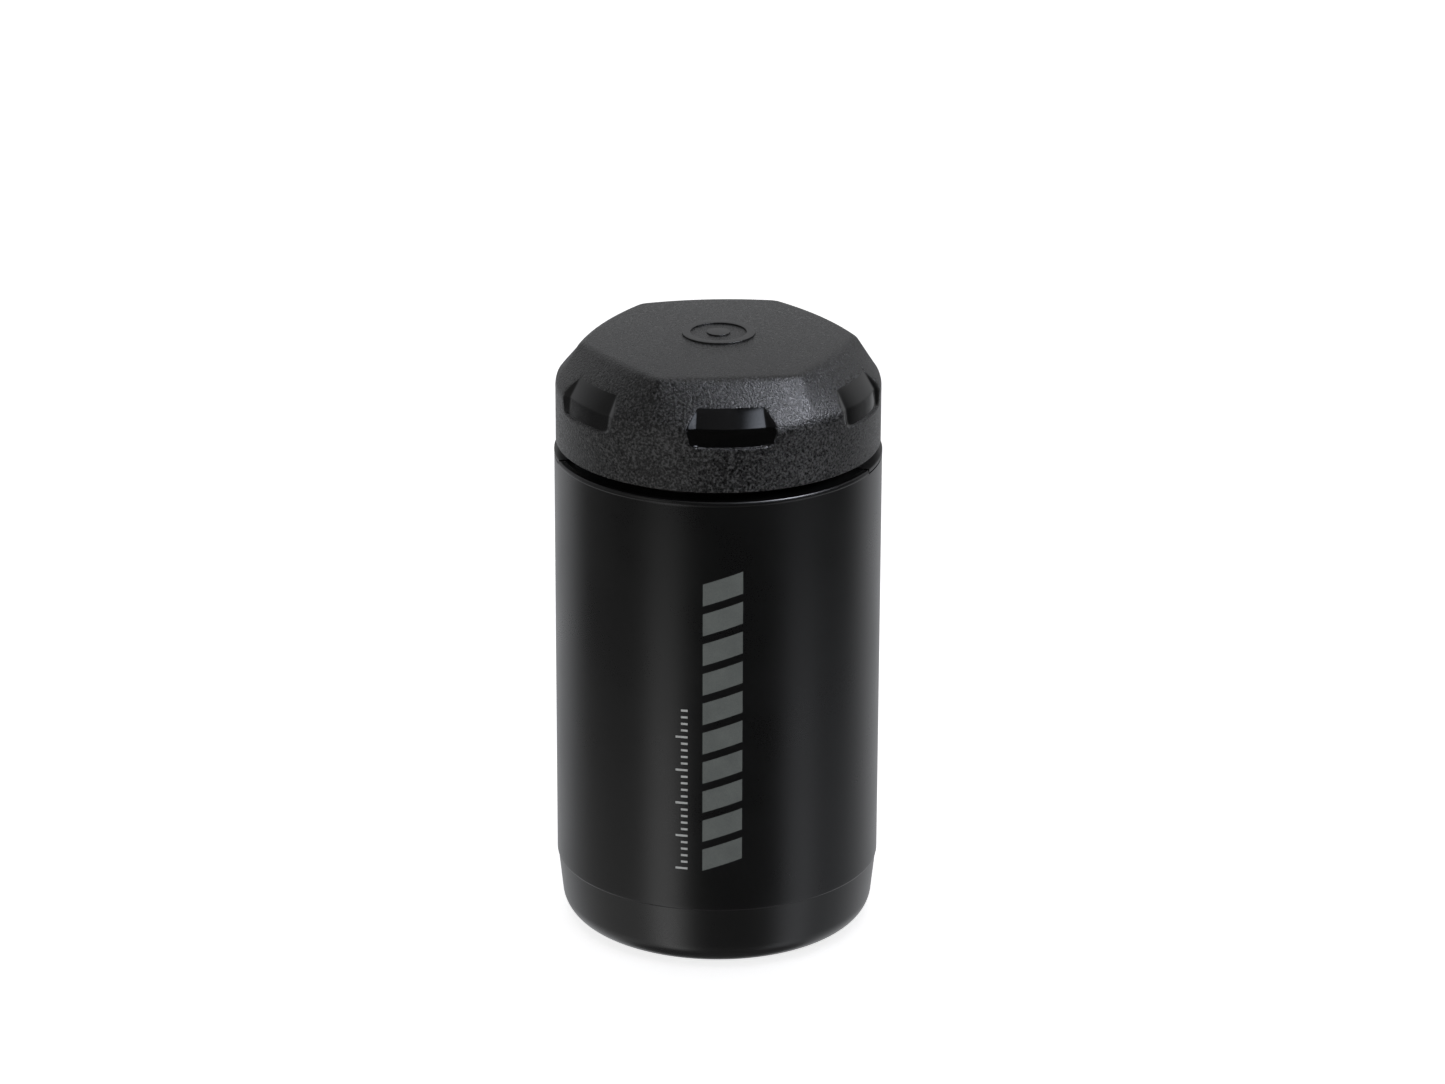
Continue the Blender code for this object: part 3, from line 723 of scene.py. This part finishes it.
def make_lid(grain, polish):
    first = lid_columns(SCOOP_LOW[0], 1.0)
    count = len(first)
    rows = [(np.full(count, r), np.full(count, z), first) for r, z in lid_hollow()]
    hollow = len(rows)

    def add_row(a, r, z, tilt):
        rows.append((*lid_skin(a, r, z, np.full(count, math.radians(tilt))), a))

    for z in SKIN_HEIGHTS:
        a = lid_columns(z, 1.0)
        edge = plateau_edge(a)
        share = np.clip((z - RIDGE_H) / (dome(edge) - RIDGE_H), 0.0, 1.0)
        add_row(a, LID_R - (LID_R - edge) * share, np.full(count, z), 0.0)
    for step, share in enumerate(CHAMFER_STEPS):
        a = lid_columns(SCOOP_HIGH[0], 1.0 - 0.9 * step / (len(CHAMFER_STEPS) - 1.0))
        edge = plateau_edge(a)
        tilt = EDGE_TILT * max(0.0, (share - CHAMFER_STEPS[0]) / (1.0 - CHAMFER_STEPS[0]))
        add_row(a, LID_R - (LID_R - edge) * share, RIDGE_H + (dome(edge) - RIDGE_H) * share, tilt)
    for share in TOP_STEPS:
        a = lid_columns(SCOOP_HIGH[0], 0.1 if share > 0.9 else 0.0)
        # Towards the axis the rows turn from the hexagon into circles.
        hexagon = np.clip((share - 0.5) / 0.5, 0.0, 1.0)
        r = (plateau_edge(a) * hexagon + APOTHEM * (1.0 - hexagon)) * share
        add_row(a, r, dome(r), EDGE_TILT + (90.0 - EDGE_TILT) * min(1.0, (1.0 - share) / 0.06))
    radius, height, azimuth = (np.array(grid) for grid in zip(*rows))

    # The polished faces: the floors and side walls of the scoops.
    r = 0.5 * (radius[:-1] + radius[1:])
    z = 0.5 * (height[:-1] + height[1:])
    following = np.roll(azimuth, -1, axis=1)
    a = 0.5 * (azimuth + np.where(following < azimuth, following + TAU, following))[:-1]
    r = 0.5 * (r + np.roll(r, -1, axis=1))
    z = 0.5 * (z + np.roll(z, -1, axis=1))
    polished = (lid_round(a, r, z) < -0.1) & (z > SCOOP_LOW[0] + 0.3) & (z < SCOOP_HIGH[0])
    polished[:hollow] = False
    face_mats = polished.astype(np.int32).reshape(-1)
    return revolve_grid("lid_cap", radius, height, azimuth, [grain, polish], 50.0, face_mats=face_mats)


def make_emblem(mat):
    """The plain raised ring and dot moulded in the middle of the lid."""
    inner, outer = EMBLEM_RING
    low, high = TOTAL_H - 0.5, EMBLEM_TOP
    ring = closed_rounded([(inner, low), (outer, low), (outer, high, 0.1), (inner, high, 0.1)], 0.05, 4)
    dot = rounded([(0.2, high), (EMBLEM_DOT, high, 0.1), (EMBLEM_DOT, low, 0.05), (0.2, low)], 0.1, 4)
    cols = 160
    verts, faces = [], []
    for profile, closed in ((ring, True), (dot, False)):
        base = len(verts)
        r, z, a = spun(profile, even(cols))
        verts += polar(a, r, z).reshape(-1, 3).tolist()
        rows = len(profile)
        for i in range(rows if closed else rows - 1):
            here, above = base + i * cols, base + (i + 1) % rows * cols
            for j in range(cols):
                k = (j + 1) % cols
                faces.append([here + j, above + j, above + k, here + k])
        if not closed:
            faces.append([base + j for j in range(cols)])
            faces.append([base + (rows - 1) * cols + j for j in range(cols)][::-1])
    piece = new_piece("lid_emblem", verts, faces, [mat])
    bm = bmesh.new()
    bm.from_mesh(piece.data)
    bmesh.ops.recalc_face_normals(bm, faces=bm.faces)
    bm.to_mesh(piece.data)
    bm.free()
    piece.data.set_sharp_from_angle(angle=math.radians(50.0))
    return piece


# ---- soft pieces -------------------------------------------------------------------
def make_gasket(mat):
    """A flat ring with a shallow groove along the middle of its underside."""
    low, high = NECK_TOP + GAP, GASKET_TOP
    groove = low + 0.12
    profile = closed_rounded([(GASKET_OUT, high), (GASKET_OUT, low), (30.2, low), (30.0, groove),
                              (29.6, groove), (29.4, low), (GASKET_IN, low), (GASKET_IN, high)], 0.25, 4)
    return turned_ring("seal_ring", profile, mat)


def make_o_ring(mat):
    profile = arc((O_RING_R, O_RING_H), O_RING_SECTION, 0.0, 360.0, 20)[:-1]
    return turned_ring("collar_o_ring", profile, mat)


def make_pad(name, radius, low, high, mat, dip, side):
    """A die-cut foam disc with soft edges, one face a little dished and waved.

    side is 1 where that is the upper face and -1 where it is the lower one.
    """
    profile = [(radius * s, high) for s in np.linspace(0.03, 0.86, 16)]
    profile += rounded([(radius * 0.9, high), (radius, high, 0.9), (radius, low, 0.7),
                        (radius * 0.9, low)], 0.8, 6)
    profile += [(radius * s, low) for s in np.linspace(0.86, 0.03, 8)]
    r, z, a = spun(profile, even(180))
    share = np.clip(r / radius, 0.0, 1.0)
    wave = 0.5 + 0.5 * np.sin(3.0 * a + 4.0 * share + 1.0) * np.cos(2.0 * a - 3.0 * share)
    face = np.clip(side * (z - 0.5 * (low + high)) / (0.5 * (high - low)), 0.0, 1.0)
    z = z - side * dip * (0.4 * wave * share + 0.6 * (1.0 - share * share)) * face
    return revolve_grid(name, r, z, a, [mat], 60.0)


def make_lining(mat):
    """A foam sheet rolled inside the wall, its edges meeting at the back."""
    outer = BODY_IN - GAP
    low, high = FOOT_H + 0.5, SHOULDER - FLANGE_H - 0.7
    inner = outer - LINING
    section = closed_rounded([(inner, low), (outer, low), (outer, high), (inner, high)], 0.5, 4)
    # Points about every 6 mm on the two long sides, for the slight waves of the inner one.
    profile = []
    for p, q in zip(section, section[1:] + section[:1]):
        profile.append(p)
        pieces = int(math.hypot(q[0] - p[0], q[1] - p[1]) // 6)
        for k in range(1, pieces):
            t = k / pieces
            profile.append((p[0] + (q[0] - p[0]) * t, p[1] + (q[1] - p[1]) * t))
    seam = LINING_SEAM / outer
    cols = 220
    r, z, a = spun(profile, np.linspace(math.pi + seam, 3.0 * math.pi - seam, cols))
    face = np.clip((outer - r) / LINING, 0.0, 1.0)
    r = r + face * (0.12 + 0.12 * np.sin(2.0 * a + 0.06 * z) * np.cos(0.11 * z + a))
    rows = len(profile)
    faces = []
    for i in range(rows):
        here, above = i * cols, (i + 1) % rows * cols
        faces += [[here + j, here + j + 1, above + j + 1, above + j] for j in range(cols - 1)]
    faces.append([i * cols for i in range(rows)])
    faces.append([i * cols + cols - 1 for i in range(rows)][::-1])
    return fix_normals(new_piece("wall_foam", polar(a, r, z).reshape(-1, 3), faces, [mat]))


# ---- printed marks -----------------------------------------------------------------
def bent_patch(verts, faces, corners):
    """A thin closed slab on the body's cylinder, from four corners of (arc, height)."""
    (x0, z0), (x1, z1), (x2, z2), (x3, z3) = corners
    count = max(2, int(max(abs(x1 - x0), abs(x2 - x3)) / PRINT_STEP) + 1)
    base = len(verts)
    for depth in (PRINT_PROUD, -PRINT_DEPTH):
        for k in range(count + 1):
            t = k / count
            for xa, za, xb, zb in ((x0, z0, x1, z1), (x3, z3, x2, z2)):
                verts.append(polar((xa + (xb - xa) * t) / BODY_R, BODY_R + depth, za + (zb - za) * t))
    n = 2 * (count + 1)
    for k in range(count):
        a, b, c, d = base + 2 * k, base + 2 * k + 2, base + 2 * k + 3, base + 2 * k + 1
        faces.append([a, b, c, d])
        faces.append([a + n, d + n, c + n, b + n])
        faces.append([a, a + n, b + n, b])
        faces.append([d, c, c + n, d + n])
    first, last = base, base + 2 * count
    faces.append([first, first + 1, first + 1 + n, first + n])
    faces.append([last, last + n, last + 1 + n, last + 1])


def make_print(name, patches, mat):
    verts, faces = [], []
    for corners in patches:
        bent_patch(verts, faces, corners)
    return fix_normals(new_piece(name, verts, faces, [mat], smooth=False))


def slanted_bars(left, right, low, high, bar, gap, slope):
    """A column of equal parallelograms, each rising by slope from left to right."""
    patches = []
    z = low
    while z + bar + slope < high + 0.01:
        patches.append([(left, z), (right, z + slope), (right, z + slope + bar), (left, z + bar)])
        z += bar + gap
    return patches


def ruled_marks(left, right, low, high, pitch, bar):
    """A plain ruled line: short marks, with every fifth one at full length."""
    patches = []
    z = low
    while z + bar < high + 0.01:
        start = right - (right - left if len(patches) % 5 == 0 else 0.55 * (right - left))
        patches.append([(start, z), (right, z), (right, z + bar), (start, z + bar)])
        z += pitch
    return patches


# ---- light and stage ---------------------------------------------------------------
class GlowGraph(Graph):
    """Soft lights by azimuth and elevation."""

    def aim(self, direction):
        """Take the azimuth of a direction, and give back its x, y and z."""
        split = self.node("ShaderNodeSeparateXYZ")
        self.put(direction, split.inputs[0])
        x, y, z = split.outputs
        self.azimuth = self.math("ARCTAN2", x, self.math("MULTIPLY", y, -1.0))
        return x, y, z

    def window(self, value, low, high, soft):
        """1 between low and high, with soft edges; all in degrees."""
        low, high, soft = math.radians(low), math.radians(high), math.radians(soft)
        up = self.span(value, low - soft, low + soft, 0.0, 1.0, interpolation_type="SMOOTHSTEP")
        down = self.span(value, high - soft, high + soft, 1.0, 0.0, interpolation_type="SMOOTHSTEP")
        return self.math("MULTIPLY", up, down)

    def light(self, azimuths, elevations, color, soft=8.0, soft_up=8.0):
        """One soft light, as a colour; without azimuths it goes all the way round."""
        share = self.window(self.elevation, *elevations, soft_up)
        if azimuths is not None:
            centre = math.radians(0.5 * (azimuths[0] + azimuths[1]))
            half = 0.5 * (azimuths[1] - azimuths[0])
            off = self.math("WRAP", self.math("SUBTRACT", self.azimuth, centre), math.pi)
            off.node.inputs[2].default_value = -math.pi
            share = self.math("MULTIPLY", self.window(off, -half, half, soft), share)
        tint = self.node("ShaderNodeVectorMath", operation="SCALE")
        tint.inputs[0].default_value = color
        self.put(share, tint.inputs["Scale"])
        return tint.outputs[0]

    def add_up(self, lights):
        total = lights[0]
        for light in lights[1:]:
            add = self.node("ShaderNodeVectorMath", operation="ADD")
            self.put(total, add.inputs[0])
            self.put(light, add.inputs[1])
            total = add.outputs[0]
        return total


class WorldGraph(GlowGraph):
    """The world's light, by the direction it comes from."""

    def __init__(self, name):
        self.world = bpy.data.worlds.new(name)
        self.world.use_nodes = True
        self.tree = self.world.node_tree
        _, _, z = self.aim(self.node("ShaderNodeTexCoord").outputs["Generated"])
        self.elevation = self.math("ARCSINE", z)


class RingGraph(GlowGraph):
    """The reflector ring's glow; 10 mm of height counts as one degree of elevation."""

    def __init__(self, name):
        super().__init__(name)
        _, _, z = self.aim(self.where)
        self.elevation = self.math("MULTIPLY", z, math.radians(100.0))


class SkyGraph(GlowGraph):
    """A card's glow, by azimuth and elevation seen from the origin."""

    def __init__(self, name):
        super().__init__(name)
        x, y, z = self.aim(self.where)
        squares = self.math("ADD", self.math("MULTIPLY", x, x), self.math("MULTIPLY", y, y))
        self.elevation = self.math("ARCTAN2", z, self.math("POWER", squares, 0.5))


def make_world():
    """The light on everything: mostly from behind, from above and from the left."""
    g = WorldGraph("studio")
    glow = g.add_up([
        g.light(None, (-95.0, 95.0), (0.03, 0.03, 0.031)),
        g.light((112.0, 248.0), (-10.0, 60.0), (0.50, 0.505, 0.515), 14.0, 14.0),
        g.light((60.0, 82.0), (-5.0, 28.0), (0.12, 0.12, 0.13), 9.0, 12.0),
        g.light((-25.0, 42.0), (36.0, 60.0), (0.16, 0.16, 0.17), 9.0, 9.0),
        g.light((112.0, 248.0), (26.0, 60.0), (0.18, 0.18, 0.185), 14.0, 12.0),
        g.light((-56.0, -34.0), (-5.0, 30.0), (0.7, 0.69, 0.67), 8.0, 8.0),
        g.light((-110.0, -56.0), (-10.0, 30.0), (0.22, 0.22, 0.22), 12.0, 12.0),
        g.light(None, (72.0, 95.0), (1.5, 1.5, 1.52), 8.0, 10.0),
        g.light(None, (-95.0, -33.0), (0.10, 0.10, 0.10), 8.0, 6.0),
    ])
    g.put(glow, g.tree.nodes["Background"].inputs["Color"])
    bpy.context.scene.world = g.world


def glowing(name, verts, faces, g, glow):
    """A lit stage card that shows only in reflections."""
    shine = g.node("ShaderNodeEmission")
    g.put(glow, shine.inputs["Color"])
    shine.inputs["Strength"].default_value = 1.0
    g.put(shine.outputs[0], g.tree.nodes["Material Output"].inputs["Surface"])
    card = new_piece(name, verts, faces, [g.mat])
    for kind in ("camera", "diffuse", "transmission", "volume_scatter", "shadow"):
        setattr(card, "visible_" + kind, False)


def make_reflector():
    """Soft reflectors on a ring round the object, from just above the floor to far below it.

    The floor is hidden from reflections, so that the body mirrors the ring instead.
    """
    g = RingGraph("reflector_glow")
    low = -60.0
    glow = g.add_up([
        g.light(None, (low, 60.0), (0.02, 0.02, 0.02)),
        g.light(None, (low, -24.0), (0.15, 0.15, 0.15), 8.0, 10.0),
        g.light((112.0, 248.0), (low, 20.0), (0.62, 0.63, 0.65), 14.0, 6.0),
        g.light((-48.0, -25.0), (low, -7.0), (1.5, 1.5, 1.5), 8.0, 7.0),
        g.light((-112.0, -48.0), (low, -9.0), (0.38, 0.38, 0.38), 8.0, 7.0),
        g.light((48.0, 70.0), (low, -6.0), (0.88, 0.9, 0.95), 8.0, 7.0),
        g.light((70.0, 112.0), (low, -6.0), (0.33, 0.34, 0.36), 8.0, 7.0),
        g.light((-140.0, -75.0), (-0.5, 60.0), (0.35, 0.35, 0.35), 8.0, 1.5),
    ])
    radius, top, bottom, count = 0.385, 0.03, -0.6, 96
    verts = []
    for z in (bottom, top):
        verts += [(radius * math.sin(a), -radius * math.cos(a), z) for a in even(count)]
    faces = [[i, (i + 1) % count, count + (i + 1) % count, count + i] for i in range(count)]
    glowing("reflector", verts, faces, g, glow)


def make_softbox():
    """A window-like light above and to the right of the lid, on part of a large sphere."""
    g = SkyGraph("softbox_glow")
    glow = g.add_up([
        g.light((46.0, 70.0), (34.0, 55.0), (31.0, 32.0, 35.5), 9.0, 7.0),
        g.light((24.0, 46.0), (36.0, 47.0), (2.6, 2.8, 3.2), 6.0, 3.0),
    ])
    radius, cols, rows = 1.6, 25, 17
    verts, faces = [], []
    for e in np.radians(np.linspace(20.0, 71.0, rows)):
        level = radius * math.cos(e)
        for a in np.radians(np.linspace(16.0, 88.0, cols)):
            verts.append((level * math.sin(a), -level * math.cos(a), radius * math.sin(e)))
    for i in range(rows - 1):
        here, above = i * cols, (i + 1) * cols
        faces += [[here + j, here + j + 1, above + j + 1, above + j] for j in range(cols - 1)]
    glowing("softbox", verts, faces, g, glow)


def make_stage():
    """A pale floor that reflections don't see, and a white dome that only the camera sees."""
    white = (1.0, 1.0, 1.0, 1.0)
    g = Graph("pale_floor")
    g.finish(Base_Color=(0.92, 0.92, 0.92, 1.0), Roughness=0.9, Emission_Color=white, Emission_Strength=0.8)
    below = (0.0, 0.0, -0.00002)
    bpy.ops.mesh.primitive_circle_add(vertices=128, radius=4.0, fill_type="NGON", location=below)
    floor = bpy.context.object
    floor.name = "floor"
    floor.data.materials.append(g.mat)
    floor.visible_glossy = False
    g = Graph("pale_backdrop")
    g.finish(Base_Color=(0.0, 0.0, 0.0, 1.0), Roughness=1.0, Emission_Color=white, Emission_Strength=1.0)
    bpy.ops.mesh.primitive_uv_sphere_add(segments=48, ring_count=24, radius=9.0, location=(0.0, 0.0, 0.0))
    backdrop = bpy.context.object
    backdrop.name = "backdrop"
    backdrop.data.materials.append(g.mat)
    for kind in ("glossy", "diffuse", "transmission", "volume_scatter", "shadow"):
        setattr(backdrop, "visible_" + kind, False)


CAMERA_AT = (0.0, -1.120, 0.5152)
CAMERA_DOWN = math.radians(20.795)
CAMERA_TURN = math.radians(0.053)
CAMERA_ROLL = math.radians(0.19)
CAMERA_LENS = 131.35
CAMERA_SENSOR = 36.0


def make_camera():
    pitch, yaw, roll = CAMERA_DOWN, CAMERA_TURN, CAMERA_ROLL
    ahead = Vector((math.sin(yaw) * math.cos(pitch), math.cos(yaw) * math.cos(pitch), -math.sin(pitch)))
    right = Vector((math.cos(yaw), -math.sin(yaw), 0.0))
    up = right.cross(ahead)
    across = math.cos(roll) * right + math.sin(roll) * up
    upward = -math.sin(roll) * right + math.cos(roll) * up
    turn = Matrix((across, upward, -ahead)).transposed().to_4x4()
    camera = bpy.data.objects.new("camera", bpy.data.cameras.new("camera"))
    bpy.context.scene.collection.objects.link(camera)
    camera.matrix_world = Matrix.Translation(CAMERA_AT) @ turn
    camera.data.sensor_fit = "HORIZONTAL"
    camera.data.sensor_width = CAMERA_SENSOR
    camera.data.lens = CAMERA_LENS
    camera.data.clip_start = 0.01
    camera.data.clip_end = 100.0
    bpy.context.scene.camera = camera


# ---- assembly ------------------------------------------------------------------------
def place(piece, body, slot, *nodes):
    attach(piece, body)
    if nodes:
        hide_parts(*nodes)
    return piece


bpy.context.scene.view_settings.view_transform = "Standard"
make_camera()
make_world()
make_reflector()
make_softbox()
make_stage()

body_mat = satin_black()
grain_mat = grained_lid()
polish_mat = polished_black()
emblem_mat = smooth_lid()
neck_mat = inner_black("collar_black", 0.009, 0.4)
liner_mat = inner_black("liner_black", 0.013, 0.36)
ring_mat = rubber("seal_rubber", 0.05)
o_ring_mat = rubber("o_ring_rubber", 0.012)
foam_mat = foam("foam_grey")
ink_mat = printed_ink("ink_grey", (0.100, 0.112, 0.106), (0.133, 0.147, 0.139))
pale_ink_mat = printed_ink("ink_pale", (0.40, 0.41, 0.405), (0.50, 0.51, 0.505))

place(make_body(body_mat), "canister", "body", "canister_shell")
place(make_neck(neck_mat), "canister", "neck", "neck_ring")
place(make_o_ring(o_ring_mat), "canister", "seal", "neck_o_ring")
place(make_lining(foam_mat), "canister", "foam", "wall_lining")
pad_low = FLOOR + RECESS + GAP
bottom_foam = make_pad("bottom_foam", FLOOR_PAD_R, pad_low, pad_low + FLOOR_PAD, foam_mat, 0.35, 1.0)
place(bottom_foam, "canister", "foam", "floor_pad")
place(make_gasket(ring_mat), "lid_carrier", "seal", "lid_gasket")
place(make_lid(grain_mat, polish_mat), "lid", "lid", "lid_shell")
place(make_emblem(emblem_mat), "lid", "lid")
place(make_liner(liner_mat), "lid", "neck", "lid_liner")
pad_high = CEILING - GAP
lid_foam = make_pad("lid_foam", PAD_R, pad_high - PAD, pad_high, foam_mat, 0.3, -1.0)
place(lid_foam, "lid", "foam", "lid_pad")

place(make_print("front_bars", slanted_bars(**BARS), ink_mat), "canister", "body")
place(make_print("side_rule", ruled_marks(**RULE), pale_ink_mat), "canister", "body")
